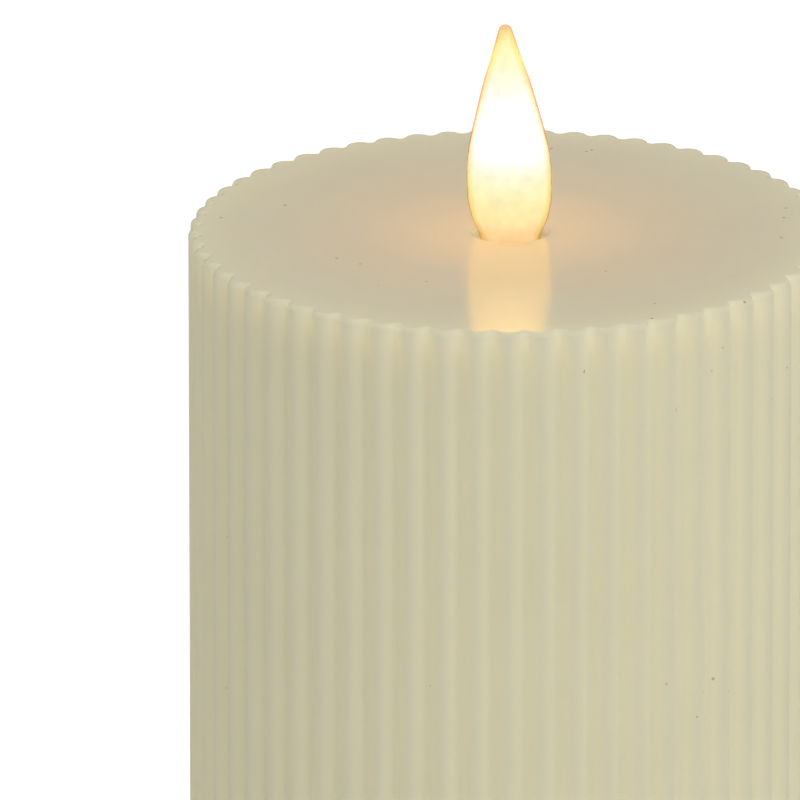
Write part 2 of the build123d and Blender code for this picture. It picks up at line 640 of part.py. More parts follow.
PARTS = {
    "wax_shell": wax_shell,
    "inner_liner": inner_liner,
    "flame_bulb": flame_bulb,
    "flame_plunger": flame_plunger,
    "plunger_spring": plunger_spring,
    "flame_guide": flame_guide,
    "guide_screws": guide_screws,
    "led_lamp": led_lamp,
    "led_leads": led_leads,
    "led_stem": led_stem,
    "control_board": control_board,
    "board_screws": board_screws,
    "push_switch_body": push_switch_body,
    "push_switch_button": push_switch_button,
    "controller_chip": controller_chip,
    "chip_legs": chip_legs,
    "smoothing_capacitor": smoothing_capacitor,
    "resistors": resistors,
    "battery_housing": battery_housing,
    "battery_door": battery_door,
    "battery_cell_1": lambda: cell(-1, CELL_Y),
    "battery_cell_2": lambda: cell(1, -CELL_Y),
    "bridge_contact": bridge_contact,
    "positive_contact": lambda: end_contact(CELL_Y, dimple=True),
    "negative_contact": lambda: end_contact(-CELL_Y, dimple=False),
    "bridge_spring": lambda: bay_spring(1, CELL_Y),
    "negative_spring": lambda: bay_spring(-1, -CELL_Y),
    "slide_switch_body": slide_switch_body,
    "slide_switch_terminals": slide_switch_terminals,
    "slide_switch_knob": slide_switch_knob,
    "jumper_lead": jumper_lead,
    "on_lead": lambda: switch_lead(TERMINAL_X[1]),
    "timer_lead": lambda: switch_lead(TERMINAL_X[3]),
    "negative_lead": negative_lead,
    "rubber_feet": rubber_feet,
    "base_screws": base_screws,
}


def main():
    os.makedirs("parts", exist_ok=True)
    for name, make in PARTS.items():
        export_step(make(), f"parts/{name}.step")


main()
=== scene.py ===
"""Looks for the flameless pillar candle: polished ribbed wax, a glowing hollow flame, and the moulded
plastic, metal and rubber pieces inside and underneath. The axes are the frame's. Lengths are in
millimetres unless they are said to be in metres, and MM turns them into the frame's metres."""

import math

import bmesh
import bpy
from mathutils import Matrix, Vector, noise


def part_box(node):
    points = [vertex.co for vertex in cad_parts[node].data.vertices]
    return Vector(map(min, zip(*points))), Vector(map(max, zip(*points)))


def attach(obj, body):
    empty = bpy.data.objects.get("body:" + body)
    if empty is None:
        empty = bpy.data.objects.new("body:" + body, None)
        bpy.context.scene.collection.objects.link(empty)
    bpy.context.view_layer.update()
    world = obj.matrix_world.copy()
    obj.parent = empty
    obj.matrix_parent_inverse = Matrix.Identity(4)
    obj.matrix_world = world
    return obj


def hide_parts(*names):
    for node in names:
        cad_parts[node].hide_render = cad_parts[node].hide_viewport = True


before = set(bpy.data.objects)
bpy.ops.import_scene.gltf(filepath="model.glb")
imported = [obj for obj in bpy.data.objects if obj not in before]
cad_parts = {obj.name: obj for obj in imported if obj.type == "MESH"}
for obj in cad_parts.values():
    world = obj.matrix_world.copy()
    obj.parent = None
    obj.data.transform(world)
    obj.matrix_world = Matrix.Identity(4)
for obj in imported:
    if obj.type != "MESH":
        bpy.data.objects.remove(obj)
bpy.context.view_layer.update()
scene = bpy.context.scene
MM = 0.001


def box_mm(node_name):
    """A CAD node's lowest and highest corners."""
    return [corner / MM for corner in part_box(node_name)]


wax_low, wax_high = box_mm("wax_shell")
FOOT_Z, TOP_Z = wax_low.z, wax_high.z
CREST_R = wax_high.x


# ---------------------------------------------------------------- meshes

def new_piece(name, mesh, body):
    piece = bpy.data.objects.new(name, mesh)
    scene.collection.objects.link(piece)
    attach(piece, body)
    return piece


def ring_mesh(name, rings, start_tip=None, end_tip=None):
    """A tube through rings of equal length, with its first or last ring closed by a tip where one is given.
    The faces come ring by ring, and those of the tips after them."""
    count = len(rings[0])
    last = (len(rings) - 1) * count
    verts = [Vector(p) * MM for ring in rings for p in ring]
    faces = []
    for low in range(0, last, count):
        for i in range(count):
            j = (i + 1) % count
            faces.append((low + i, low + j, low + count + j, low + count + i))
    for tip, base, flip in ((start_tip, 0, True), (end_tip, last, False)):
        if tip is None:
            continue
        verts.append(Vector(tip) * MM)
        top = len(verts) - 1
        for i in range(count):
            a, b = base + i, base + (i + 1) % count
            faces.append((b, a, top) if flip else (a, b, top))
    mesh = bpy.data.meshes.new(name)
    mesh.from_pydata(verts, [], faces)
    mesh.update()
    for polygon in mesh.polygons:
        polygon.use_smooth = True
    return mesh


def quarter_turn(steps):
    """The sine and cosine at even steps from 0 to 90 degrees."""
    turns = [math.pi / 2 * k / steps for k in range(steps + 1)]
    return [(math.sin(turn), math.cos(turn)) for turn in turns]


# ---------------------------------------------------------------- the wax

RIBS = 60
RIB_STEPS = 16  # points round each rib
RIB_DEPTH = 1.2
RIB_CREST_R = 1.8
WANDER = 0.05  # how far the cast ribs fall short of true, at most
WANDER_ROUND, WANDER_UP = 1.6, 0.035  # how fast that changes, round the pillar and per millimetre of height
WALL_RINGS = 26
FOOT_R, FOOT_STEPS = 0.5, 4  # the rounding of the ribs' foot
RIM_R, RIM_STEPS = 0.9, 8  # and of their rim
RIM_FADE = (  # how far in from the crests, and how much of the ribs' outline is left there
    (1.3, 0.92), (1.8, 0.75), (2.6, 0.5), (3.8, 0.2), (5.5, 0.0),
)
TOP_RINGS = (35.5, 31, 26, 21, 16.5, 12.5, 9.5, 7.8)  # radii over the flat top
HOLE_R = 4.95
LIP_R, LIP_STEPS = 0.9, 6  # the rounding of the hole's lip
LIP_END = 3.0  # a ring this far down keeps the shading of the lip off the bore
BORE_R = 39.0
BORE_CHAMFER = 0.3
FOOT_IN, FOOT_FOLLOWS = 1.5, 0.3  # the ring between bore and foot: out from the bore, share of the ribs
ROOF_Z = TOP_Z - 8.01  # the underside of the top, just clear of the liner
ROOF_RING_R = HOLE_R + 14  # a ring between the hole and the bore


def arc(centre_r, radius, off, side):
    """How far out a circle round (centre_r, 0) is met at an angle: on its far side (1) or near side (-1)."""
    return centre_r * math.cos(off) + side * math.sqrt(radius ** 2 - (centre_r * math.sin(off)) ** 2)


def rib_radius(angle):
    """The radius over the ribs at this angle: rounded crests at every whole pitch and hollows between."""
    half = math.pi / RIBS
    valley_r, crest_centre = CREST_R - RIB_DEPTH, CREST_R - RIB_CREST_R
    reach, spread = crest_centre * math.cos(half), crest_centre * math.sin(half)
    hollow = (valley_r - reach) ** 2 + spread ** 2 - RIB_CREST_R ** 2
    hollow /= 2 * (RIB_CREST_R + reach - valley_r)
    hollow_centre = valley_r + hollow
    share = RIB_CREST_R / (RIB_CREST_R + hollow)  # of the way between the two centres, where they touch
    touch = Vector((crest_centre + share * (hollow_centre * math.cos(half) - crest_centre),
                    share * hollow_centre * math.sin(half)))
    off = abs((angle / (2 * half) + 0.5) % 1 - 0.5) * 2 * half
    if off < math.atan2(touch.y, touch.x):
        return arc(crest_centre, RIB_CREST_R, off, 1)
    return arc(hollow_centre, hollow, half - off, -1)


def wax_mesh():
    """One closed skin: up the bore, over the foot, up the ribs, over the top and down the flame's hole."""
    steps = RIBS * RIB_STEPS
    angles = [math.tau * i / steps for i in range(steps)]
    ribbed = [rib_radius(a) for a in angles]

    def ribbed_ring(inset, z):
        ring = []
        for r, a in zip(ribbed, angles):
            spot = Vector((math.cos(a) * WANDER_ROUND, math.sin(a) * WANDER_ROUND, z * WANDER_UP))
            r -= inset + WANDER * (0.5 + 0.5 * noise.noise(spot))
            ring.append((r * math.cos(a), r * math.sin(a), z))
        return ring

    def round_ring(radius, z, follows=0.0):
        """A circle, or a ring that follows the ribs' outline by this share."""
        radii = [radius + follows * (r - CREST_R) for r in ribbed]
        return [(r * math.cos(a), r * math.sin(a), z) for r, a in zip(radii, angles)]

    rings = [
        round_ring(BORE_R, ROOF_Z),
        round_ring(BORE_R, FOOT_Z + BORE_CHAMFER),
        round_ring(BORE_R + BORE_CHAMFER, FOOT_Z),
        round_ring(BORE_R + FOOT_IN, FOOT_Z, FOOT_FOLLOWS),
    ]
    rings += [ribbed_ring(FOOT_R * (1 - s), FOOT_Z + FOOT_R * (1 - c)) for s, c in quarter_turn(FOOT_STEPS)]
    wall_low, wall_high = FOOT_Z + FOOT_R, TOP_Z - RIM_R
    rings += [ribbed_ring(0, wall_low + (wall_high - wall_low) * k / WALL_RINGS) for k in range(1, WALL_RINGS)]
    rings += [ribbed_ring(RIM_R * (1 - c), TOP_Z - RIM_R * (1 - s)) for s, c in quarter_turn(RIM_STEPS)]
    rings += [round_ring(CREST_R - inset, TOP_Z, follows) for inset, follows in RIM_FADE]
    rings += [round_ring(radius, TOP_Z) for radius in TOP_RINGS]
    rings += [round_ring(HOLE_R + LIP_R * (1 - s), TOP_Z - LIP_R * (1 - c)) for s, c in quarter_turn(LIP_STEPS)]
    rings += [round_ring(HOLE_R, TOP_Z - LIP_END), round_ring(HOLE_R, ROOF_Z), round_ring(ROOF_RING_R, ROOF_Z)]
    return ring_mesh("wax", rings + rings[:1])


# ---------------------------------------------------------------- the flame

FLAME_SIDE = (  # height above the wax, and radius
    (-6.35, 4.1), (-3.5, 4.1), (-1.6, 4.12), (-0.9, 4.14), (-0.3, 4.24), (0.4, 4.58), (1.1, 4.95),
    (1.9, 5.25), (2.8, 5.5), (3.8, 5.7), (5.0, 5.85), (6.4, 5.91), (7.9, 5.92), (9.4, 5.87),
    (11.0, 5.72), (12.7, 5.46), (14.4, 5.1), (16.3, 4.62), (18.3, 4.12), (20.3, 3.62), (22.2, 3.08),
    (24.1, 2.45), (25.8, 1.94), (27.3, 1.5), (28.4, 1.18), (29.1, 0.97), (29.5, 0.8), (29.74, 0.56),
    (29.85, 0.28),
)
FLAME_H = 29.88
FLAME_STEPS = 96  # points round it
FLAME_LEAN, LEAN_CURVE = 0.7, 1.4  # how far the tip leans to the left, and the power the lean grows by
SKIN_LOW, SKIN_HIGH = 0.08, 0.22  # how thick the skin is at the belly, and above it
SKIN_GROWS, SKIN_GROWN = 9.0, 15.0  # the heights between which it thickens
SKIN_FOOT, LAYERS_FOOT = -3.5, -1.6  # how low the inside of the skin reaches, and the layers
SKIN, CORE, LAYER = range(3)  # the flame's material slots
LAYERS = 4  # thin glowing layers between the skin and the core, an even number
LAYER_GAP = 0.17
LAYER_SHARE = 0.34  # how much of what lies behind it each layer hides
LAYER_TINT = (1.02, 0.965, 0.7)  # the layers' colour beside that of the whole flame
TIP_R = 0.16  # no layer's last ring is narrower
TIP_RISE, TIP_GAP = 0.3, 0.25  # how far its tip stands over that ring, and at least below the skin's
TIP_LEAN = 0.97  # the share of the whole lean at the layers' tips


def flame_lean(height):
    return FLAME_LEAN * max(0.0, height / FLAME_H) ** LEAN_CURVE


def skin_depth(height):
    turn = min(1.0, max(0.0, (height - SKIN_GROWS) / (SKIN_GROWN - SKIN_GROWS)))
    return SKIN_LOW + (SKIN_HIGH - SKIN_LOW) * turn * turn * (3 - 2 * turn)


def flame_mesh():
    """Thin walls, one inside the other and open at the foot: the skin, the glowing layers and the core."""
    angles = [math.tau * i / FLAME_STEPS for i in range(FLAME_STEPS)]

    def ring(height, radius):
        lean = flame_lean(height)
        return [(radius * math.cos(a) - lean, radius * math.sin(a), TOP_Z + height) for a in angles]

    def layer(k):
        """The rings of one surface inside the skin, and the point that closes its top."""
        foot = SKIN_FOOT if k == 0 else LAYERS_FOOT
        side = [(h, r - skin_depth(h) - k * LAYER_GAP) for h, r in FLAME_SIDE if h >= foot]
        side = [(h, r) for h, r in side if r > TIP_R]
        tip_height = min(FLAME_H - TIP_GAP, side[-1][0] + TIP_RISE)
        return [ring(h, r) for h, r in side], (-TIP_LEAN * FLAME_LEAN, 0, TOP_Z + tip_height)

    surfaces = [([ring(h, r) for h, r in FLAME_SIDE], (-FLAME_LEAN, 0, TOP_Z + FLAME_H))]
    surfaces += [layer(k) for k in range(LAYERS + 1)]
    slots = [SKIN] + [LAYER] * LAYERS + [CORE]
    joined = bmesh.new()
    for k in range(0, len(surfaces), 2):
        (outer, outer_tip), (inner, inner_tip) = surfaces[k:k + 2]
        wall = ring_mesh("flame", inner[::-1] + outer, start_tip=inner_tip, end_tip=outer_tip)
        inner_faces = (len(inner) - 1) * FLAME_STEPS
        ring_faces = (len(inner) + len(outer) - 1) * FLAME_STEPS
        for i, polygon in enumerate(wall.polygons):
            inside = i < inner_faces or ring_faces <= i < ring_faces + FLAME_STEPS
            polygon.material_index = slots[k + 1] if inside else slots[k]
        joined.from_mesh(wall)
    joined.to_mesh(wall)
    joined.free()
    return wall


# ---------------------------------------------------------------- materials

BLACK, WHITE = (0, 0, 0), (1, 1, 1)
NOISE_LOW, NOISE_HIGH = 0.3, 0.7  # most of a noise texture's values lie between these


def srgb(r, g, b):
    """A linear colour from 0-255 display values."""
    def linear(c):
        c /= 255
        return c / 12.92 if c <= 0.04045 else ((c + 0.055) / 1.055) ** 2.4
    return (linear(r), linear(g), linear(b), 1)


def shade(colour, factor):
    return tuple(min(0.99, c * factor) for c in colour[:3]) + (1,)


class Nodes:
    """A material's node tree, with short calls for the nodes used most."""

    def __init__(self, name):
        self.material = bpy.data.materials.new(name)
        self.material.use_nodes = True
        self.tree = self.material.node_tree
        self.shader = self.tree.nodes["Principled BSDF"]
        self.place = self.add("ShaderNodeTexCoord").outputs["Object"]

    def add(self, kind, **inputs):
        node = self.tree.nodes.new(kind)
        for key, value in inputs.items():
            self.set(node, key.replace("_", " "), value)
        return node

    def set(self, node, socket, value):
        if isinstance(value, bpy.types.NodeSocket):
            self.tree.links.new(value, node.inputs[socket])
        else:
            node.inputs[socket].default_value = value

    def noise(self, scale, detail=3.0, rough=0.5, at=None):
        node = self.add("ShaderNodeTexNoise", Scale=scale, Detail=detail, Roughness=rough)
        self.set(node, "Vector", at or self.place)
        return node.outputs["Fac"]

    def cells(self, scale):
        return self.add("ShaderNodeTexVoronoi", Scale=scale, Vector=self.place).outputs["Distance"]

    def ramp(self, value, stops, ease="LINEAR"):
        node = self.add("ShaderNodeValToRGB", Fac=value)
        node.color_ramp.interpolation = ease
        while len(node.color_ramp.elements) < len(stops):
            node.color_ramp.elements.new(0.5)
        for element, (position, colour) in zip(node.color_ramp.elements, stops):
            element.position = position
            element.color = colour if len(colour) == 4 else (*colour, 1)
        return node.outputs["Color"]

    def bands(self, value, bands):
        """The colour and the metalness of bands with sharp edges, each given as start, colour, metalness."""
        metalness = [(start, (share, share, share)) for start, _, share in bands]
        return (self.ramp(value, [(start, srgb(*colour)) for start, colour, _ in bands], "CONSTANT"),
                self.ramp(value, metalness, "CONSTANT"))

    def span(self, value, from_low, from_high, to_low=0.0, to_high=1.0):
        node = self.add("ShaderNodeMapRange", Value=value)
        limits = {"From Min": from_low, "From Max": from_high, "To Min": to_low, "To Max": to_high}
        for socket, limit in limits.items():
            node.inputs[socket].default_value = limit
        return node.outputs["Result"]

    def spread(self, noise_value, low, high):
        """A noise texture's usual values, spread from low to high."""
        return self.span(noise_value, NOISE_LOW, NOISE_HIGH, low, high)

    def math(self, operation, a, b):
        node = self.add("ShaderNodeMath")
        node.operation = operation
        self.set(node, 0, a)
        self.set(node, 1, b)
        return node.outputs[0]

    def mix(self, factor, a, b):
        node = self.add("ShaderNodeMix")
        node.data_type = "RGBA"
        for socket, value in ((0, factor), (6, a), (7, b)):  # the factor and the two colours
            self.set(node, socket, value)
        return node.outputs[2]

    def axis(self, name):
        return self.add("ShaderNodeSeparateXYZ", Vector=self.place).outputs[name]

    def from_axis(self):
        """How far out from the upright axis, in metres."""
        flat = self.add("ShaderNodeVectorMath", Vector=self.place)
        flat.operation = "MULTIPLY"
        flat.inputs[1].default_value = (1, 1, 0)
        length = self.add("ShaderNodeVectorMath")
        length.operation = "LENGTH"
        self.set(length, 0, flat.outputs[0])
        return length.outputs["Value"]

    def bump(self, height, strength, distance, after=None):
        """A bump whose distance is in metres, over another one where it is given."""
        node = self.add("ShaderNodeBump", Height=height, Strength=strength, Distance=distance)
        if after is not None:
            self.set(node, "Normal", after)
        return node.outputs["Normal"]

    def clear(self, colour=WHITE):
        return self.add("ShaderNodeBsdfTransparent", Color=(*colour, 1)).outputs[0]

    def blend(self, share, a, b):
        """Shader b by this share, over shader a."""
        node = self.add("ShaderNodeMixShader", Fac=share)
        self.set(node, 1, a)
        self.set(node, 2, b)
        return node.outputs[0]

    def show(self, surface):
        self.set(self.tree.nodes["Material Output"], "Surface", surface)

    def finish(self, **inputs):
        for key, value in inputs.items():
            self.set(self.shader, key.replace("_", " "), value)
        return self.material


IVORY = srgb(245, 241, 211)
TOP_PAINTED_GLOW = srgb(245, 235, 204)  # painted glow: the top is painted warmer in the middle, standing in for the flame's light
TOP_PAINTED_RIM_LIGHT = srgb(252, 247, 214)  # painted light: and painted paler towards its rim, standing in for light that gets into the wax there
PAINTED_GLOW_R, PAINTED_RIM_LIGHT_R = 20, 38  # the radii between which the painted glow turns into the painted rim light
SPECK = srgb(160, 148, 112)
SATIN = 0.3  # how much rougher the ribs are than the top
COLOUR_DEPTH, POLISH_DEPTH, TOP_SKIN = 0.6, 0.7, 0.1  # the top's colour, which is painted light, and its polish come in from here to here


def wax_material():
    """Translucent wax, which spreads light under its skin from rib to rib; the top is polished, and its colour
    is painted light: the flame's warm glow painted in its middle and painted paleness towards its rim.
    """
    n = Nodes("ivory_wax")
    n.shader.subsurface_method = "BURLEY"

    def up_to_top(depth, start, end):
        return n.span(n.axis("Z"), (TOP_Z - depth) * MM, (TOP_Z - TOP_SKIN) * MM, start, end)

    cloud = n.noise(55.0, detail=4.0, rough=0.55)
    ribs = n.mix(cloud, shade(IVORY, 0.985), shade(IVORY, 1.02))
    # painted light: the top's colour runs from the flame's painted warm glow in the middle to painted paleness
    # at the rim
    painted_rim_light = n.span(n.from_axis(), PAINTED_GLOW_R * MM, PAINTED_RIM_LIGHT_R * MM)
    top = n.mix(n.math("ADD", painted_rim_light, n.spread(cloud, -0.12, 0.12)), TOP_PAINTED_GLOW, TOP_PAINTED_RIM_LIGHT)
    on_top = up_to_top(COLOUR_DEPTH, 0.0, 1.0)
    dots = n.ramp(n.cells(260.0), [(0.0, WHITE), (0.045, WHITE), (0.07, BLACK)])
    sparse = n.ramp(n.noise(70.0, detail=1.0), [(0.0, BLACK), (0.55, BLACK), (0.58, WHITE)])
    specks = n.math("MULTIPLY", dots, sparse)
    colour = n.mix(n.math("MULTIPLY", specks, 0.6), n.mix(on_top, ribs, top), SPECK)
    grain = n.bump(n.noise(900.0, detail=4.0, rough=0.6), 0.08, 0.0001)
    slow = n.bump(n.noise(38.0, detail=2.0, rough=0.4), 0.08, 0.001, after=grain)
    pitted = n.bump(n.math("MULTIPLY", specks, -1.0), 0.35, 0.00015, after=slow)
    rough = n.math("ADD", n.spread(cloud, 0.15, 0.19), up_to_top(POLISH_DEPTH, SATIN, 0.0))
    return n.finish(Base_Color=colour, Roughness=rough, Normal=pitted, IOR=1.45, Subsurface_Weight=1.0,
                    Subsurface_Radius=(1.0, 0.75, 0.45), Subsurface_Scale=0.010)


FLAME_GLOW = (  # height above the wax, display colour, brightness
    (-6.0, (226, 150, 84), 0.5),
    (-0.2, (252, 211, 150), 1.0),
    (1.2, (253, 218, 158), 1.0),
    (1.8, (254, 228, 168), 1.0),
    (3.7, (254, 237, 173), 1.0),
    (5.6, (253, 243, 184), 1.0),
    (7.5, (254, 248, 199), 1.0),
    (9.3, (254, 252, 219), 1.0),
    (11.0, (254, 255, 240), 1.05),
    (13.0, (255, 255, 255), 1.25),
    (18.0, (255, 255, 255), 1.15),
    (20.8, (254, 254, 239), 1.02),
    (22.4, (254, 254, 226), 1.0),
    (25.6, (254, 253, 200), 1.0),
    (27.2, (254, 249, 184), 1.0),
    (28.8, (253, 237, 176), 1.0),
    (29.9, (222, 204, 184), 0.95),
)
FLAME_MIRRORED = (  # share of that span of heights, and the radiance that the wax mirrors
    (0.0, (1.3, 0.8, 0.2)),
    (0.3, (1.4, 0.87, 0.22)),
    (0.55, (2.6, 1.4, 0.32)),
    (1.0, (3.2, 1.75, 0.4)),
)
GLOW_STRENGTH = 8.0
GLOW_DIP = 0.985  # the glow's faint mottling goes down to this share
SKIN_SHARE = 0.39  # of the light that meets the skin, what it scatters
SKIN_TINT = (1.0, 0.86, 0.66)  # what it does to the light that passes through
SKIN_LIT = (0.28, 0.15, 0.04)  # the radiance that the skin scatters in the studio's light


def behind_skin(colour, factor=1.0):
    """The glow that looks like this colour once it has passed through the skin."""
    seen = [max(0.0, factor * c - SKIN_SHARE * lit) for c, lit in zip(colour, SKIN_LIT)]
    return tuple(c / ((1 - SKIN_SHARE) * tint) / GLOW_STRENGTH for c, tint in zip(seen, SKIN_TINT)) + (1,)


def flame_glow(name, tint, share=1.0):
    """A lit layer inside the flame, whose mirror image in the wax is the lamp's own amber."""
    n = Nodes(name)
    low, high = FLAME_GLOW[0][0], FLAME_GLOW[-1][0]
    height = n.span(n.axis("Z"), (TOP_Z + low) * MM, (TOP_Z + high) * MM)
    warm = []
    for h, colour, brightness in FLAME_GLOW:
        glow = behind_skin(srgb(*colour), brightness)
        warm.append(((h - low) / (high - low), [a * b for a, b in zip(glow, tint)]))
    amber = [(place, behind_skin(radiance)) for place, radiance in FLAME_MIRRORED]
    mirrored = n.add("ShaderNodeLightPath").outputs["Is Glossy Ray"]
    colour = n.mix(mirrored, n.ramp(height, warm), n.ramp(height, amber))
    mottled = n.spread(n.noise(420.0, detail=2.0, rough=0.5), GLOW_DIP * GLOW_STRENGTH, GLOW_STRENGTH)
    lit = n.add("ShaderNodeEmission", Color=colour, Strength=mottled).outputs[0]
    n.show(n.blend(share, n.clear(), lit) if share < 1 else lit)
    n.tree.nodes.remove(n.shader)
    n.material.cycles.emission_sampling = "NONE"
    return n.material


def flame_skin():
    """The flame's thin outer skin of satin amber plastic, part of which light passes straight through."""
    n = Nodes("flame_skin")
    share = n.spread(n.noise(500.0, detail=2.0), SKIN_SHARE - 0.03, SKIN_SHARE + 0.03)
    n.show(n.blend(share, n.clear(SKIN_TINT), n.shader.outputs[0]))
    return n.finish(Base_Color=srgb(196, 146, 76), Roughness=0.35, Specular_IOR_Level=0.2,
                    Normal=n.bump(n.noise(300.0, detail=2.0), 0.05, 0.0002))


def moulded(name, colour, rough=0.42, grain=1400.0, strength=0.18, flow=0.03):
    """Moulded plastic: a fine spark-eroded grain, slow colour drift and slightly uneven gloss."""
    n = Nodes(name)
    tone = n.mix(n.noise(90.0), shade(colour, 1 - flow), shade(colour, 1 + flow))
    surface = n.bump(n.noise(grain, detail=2.0, rough=0.7), strength, 0.00006)
    surface = n.bump(n.noise(60.0, detail=1.0), 0.05, 0.0008, after=surface)
    gloss = n.spread(n.noise(220.0), rough - 0.04, rough + 0.05)
    return n.finish(Base_Color=tone, Roughness=gloss, Normal=surface)


def insulation(name, colour):
    return moulded(name, colour, rough=0.38, grain=1800.0, strength=0.08, flow=0.06)


def metal(name, colour, rough=0.28, streak=None):
    """Plated or drawn metal with fine scratches, drawn out along streak, and patches that have dulled."""
    n = Nodes(name)
    patch = n.noise(420.0, detail=4.0, rough=0.6)
    tone = n.mix(n.ramp(patch, [(0.35, BLACK), (0.75, WHITE)]), colour, shade(colour, 0.78))
    drawn = n.add("ShaderNodeMapping", Vector=n.place, Scale=streak).outputs[0] if streak else None
    scratches = n.bump(n.noise(700.0, detail=3.0, rough=0.6, at=drawn), 0.15, 0.00004)
    gloss = n.span(patch, 0.3, 0.75, rough - 0.05, rough + 0.12)
    return n.finish(Base_Color=tone, Metallic=1.0, Roughness=gloss, Normal=scratches)


def rubber_material():
    """Black rubber, greyed by dust."""
    n = Nodes("rubber")
    dust = n.noise(600.0, detail=4.0, rough=0.65)
    tone = n.mix(n.ramp(dust, [(0.45, BLACK), (0.8, WHITE)]), srgb(38, 37, 36), srgb(84, 80, 74))
    return n.finish(Base_Color=tone, Roughness=n.spread(dust, 0.7, 0.88),
                    Normal=n.bump(n.noise(2600.0, detail=2.0), 0.3, 0.00005))


def board_material():
    """Green solder mask, paler where the copper tracks lie under it."""
    n = Nodes("circuit_board")
    tracks = n.add("ShaderNodeTexBrick", Vector=n.place, Scale=260.0).outputs["Fac"]
    tone = n.mix(n.math("MULTIPLY", tracks, 0.55), srgb(18, 84, 46), srgb(46, 122, 66))
    tone = n.mix(n.spread(n.noise(140.0, detail=2.0), 0.0, 0.25), tone, srgb(12, 62, 36))
    return n.finish(Base_Color=tone, Roughness=0.32, Normal=n.bump(tracks, 0.2, 0.00004),
                    Coat_Weight=0.3, Coat_Roughness=0.2)


CELL_BANDS = (  # share of the length where it starts, display colour, metalness
    (0.0, (190, 188, 182), 1.0),  # the bare negative end
    (0.008, (34, 38, 44), 0.0),  # the dark wrap
    (0.625, (206, 208, 206), 0.0),
    (0.65, (176, 96, 40), 0.7),  # the copper-coloured end
    (0.965, (190, 188, 182), 1.0),  # the bare positive end
)
TAN = (206, 176, 126)
RESISTOR_BANDS = (
    (0.0, (196, 196, 192), 1.0),  # a tinned leg
    (0.225, TAN, 0.0),
    (0.30, (120, 64, 26), 0.0),
    (0.345, TAN, 0.0),
    (0.42, (20, 20, 20), 0.0),
    (0.465, TAN, 0.0),
    (0.53, (190, 40, 24), 0.0),
    (0.575, TAN, 0.0),
    (0.68, (196, 156, 60), 0.0),
    (0.72, TAN, 0.0),
    (0.775, (196, 196, 192), 1.0),  # the other leg
)
CAPACITOR_BANDS = (
    (0.0, (28, 38, 70), 0.0),  # the sleeve
    (0.93, (200, 200, 198), 1.0),  # the can's bare top
)


def cell_material(name, positive_high):
    """A plastic-wrapped cell lying along X, with its positive end on the high side or the low side."""
    n = Nodes(name)
    low, high = box_mm(name)
    ends = (0.0, 1.0) if positive_high else (1.0, 0.0)
    wrap, metalness = n.bands(n.span(n.axis("X"), low.x * MM, high.x * MM, *ends), CELL_BANDS)
    scuff = n.noise(500.0, detail=4.0, rough=0.6)
    return n.finish(Base_Color=wrap, Metallic=metalness, Roughness=n.span(scuff, 0.3, 0.75, 0.22, 0.42),
                    Normal=n.bump(scuff, 0.08, 0.00005), Coat_Weight=0.4, Coat_Roughness=0.15)


def resistor_material():
    """Tan lacquer with colour rings; the legs beyond the body are tinned."""
    n = Nodes("resistor")
    low, high = box_mm("resistors")
    rings, metalness = n.bands(n.span(n.axis("X"), low.x * MM, high.x * MM), RESISTOR_BANDS)
    return n.finish(Base_Color=rings, Metallic=metalness, Roughness=0.3,
                    Normal=n.bump(n.noise(1500.0, detail=2.0), 0.1, 0.00004))


def capacitor_material():
    """A dark blue sleeve round an aluminium can."""
    n = Nodes("capacitor")
    low, high = box_mm("smoothing_capacitor")
    sleeve, metalness = n.bands(n.span(n.axis("Z"), low.z * MM, high.z * MM), CAPACITOR_BANDS)
    return n.finish(Base_Color=sleeve, Metallic=metalness, Roughness=n.spread(n.noise(300.0), 0.25, 0.4),
                    Normal=n.bump(n.noise(900.0), 0.08, 0.00005))


def lamp_material():
    """The small clear lamp inside the flame, which is lit."""
    n = Nodes("lamp")
    core = n.spread(n.noise(500.0, detail=1.0), 0.9, 1.1)
    return n.finish(Base_Color=srgb(255, 206, 120), Roughness=0.12, Transmission_Weight=0.3,
                    Emission_Color=n.mix(core, srgb(255, 190, 92), srgb(255, 214, 130)), Emission_Strength=6.0)


WHITE_PLASTIC = srgb(228, 226, 218)
IVORY_PLASTIC = srgb(214, 207, 186)
RED = srgb(176, 30, 24)
STEEL = srgb(184, 184, 182)
TINNED = srgb(204, 203, 198)
CONTACT = srgb(196, 192, 182)
COIL = srgb(198, 194, 186)
DRAWN_UP = (1, 1, 12)

